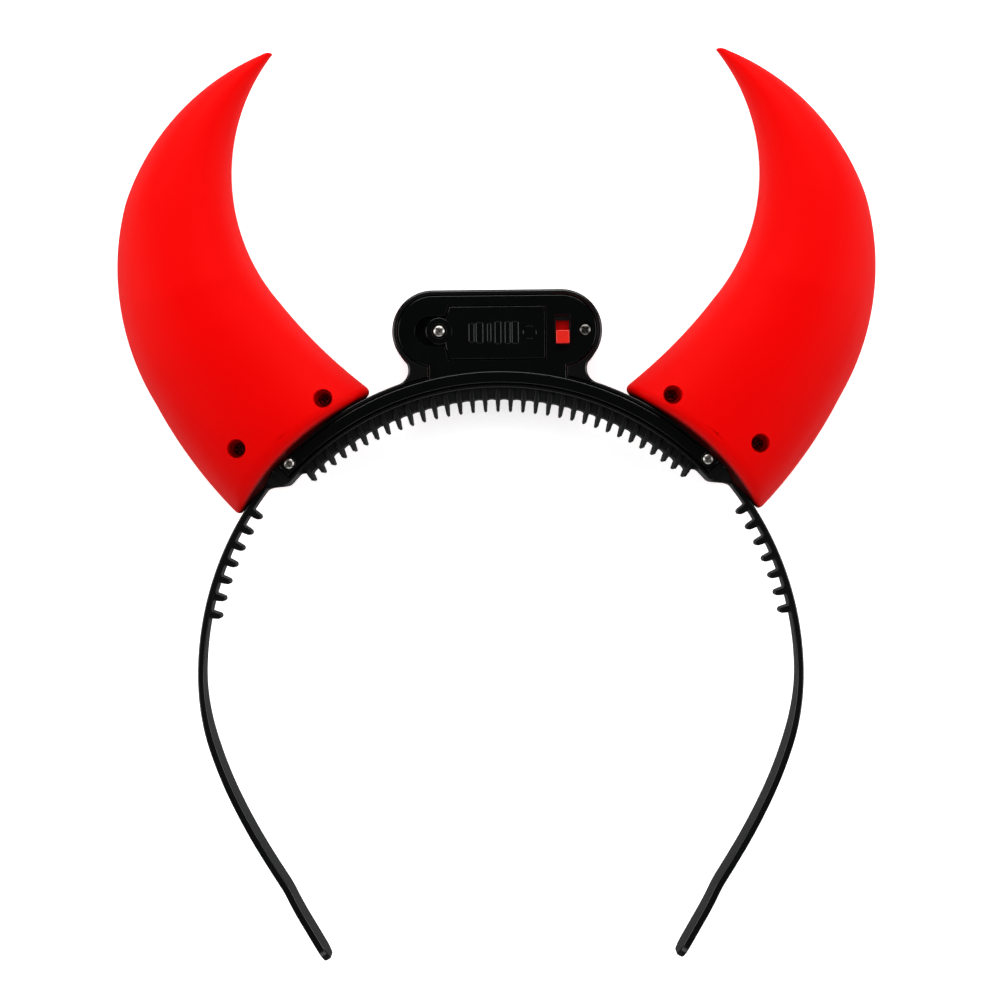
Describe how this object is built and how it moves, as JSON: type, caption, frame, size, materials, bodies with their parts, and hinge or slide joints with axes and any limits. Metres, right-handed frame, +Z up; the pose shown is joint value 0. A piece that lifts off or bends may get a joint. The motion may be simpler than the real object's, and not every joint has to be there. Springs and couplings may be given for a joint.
{
  "type": "devil horns headband",
  "caption": "Rigid light-up costume headband: moulded black hoop with inner comb teeth, battery housing with a slide switch on top, and curved pointed red horns screwed to it.",
  "frame": {"origin": "centre of the bounding box on the surface that the headband lies on", "axes": "+X across the headband to the side of the switch, +Y towards the horn tips, +Z up out of the battery cover's side"},
  "size_m": [0.191, 0.229, 0.024],
  "materials": {
    "black_plastic": "semi-gloss injection moulded",
    "red_plastic": "smooth satin, slightly translucent",
    "knob_red": "smooth",
    "screw_steel": "zinc-plated"
  },
  "bodies": {
    "headband": {"headband_shell": "black_plastic", "back_cover": "black_plastic", "battery_door": "black_plastic", "door_screw": "screw_steel", "cover_screw": "screw_steel", "cover_screw_left": "screw_steel", "cover_screw_right": "screw_steel", "horn_screw_left_top": "screw_steel", "horn_screw_left_side": "screw_steel", "horn_screw_right_top": "screw_steel", "horn_screw_right_side": "screw_steel", "horn_left_back": "red_plastic", "horn_left_front": "red_plastic", "horn_right_back": "red_plastic", "horn_right_front": "red_plastic"},
    "switch": {"switch_knob": "knob_red"}
  },
  "joints": [
    {"name": "switch_slide", "type": "slide", "parent": "headband", "child": "switch", "axis": [0, 1, 0], "range_m": [0, 0.0036]}
  ]
}
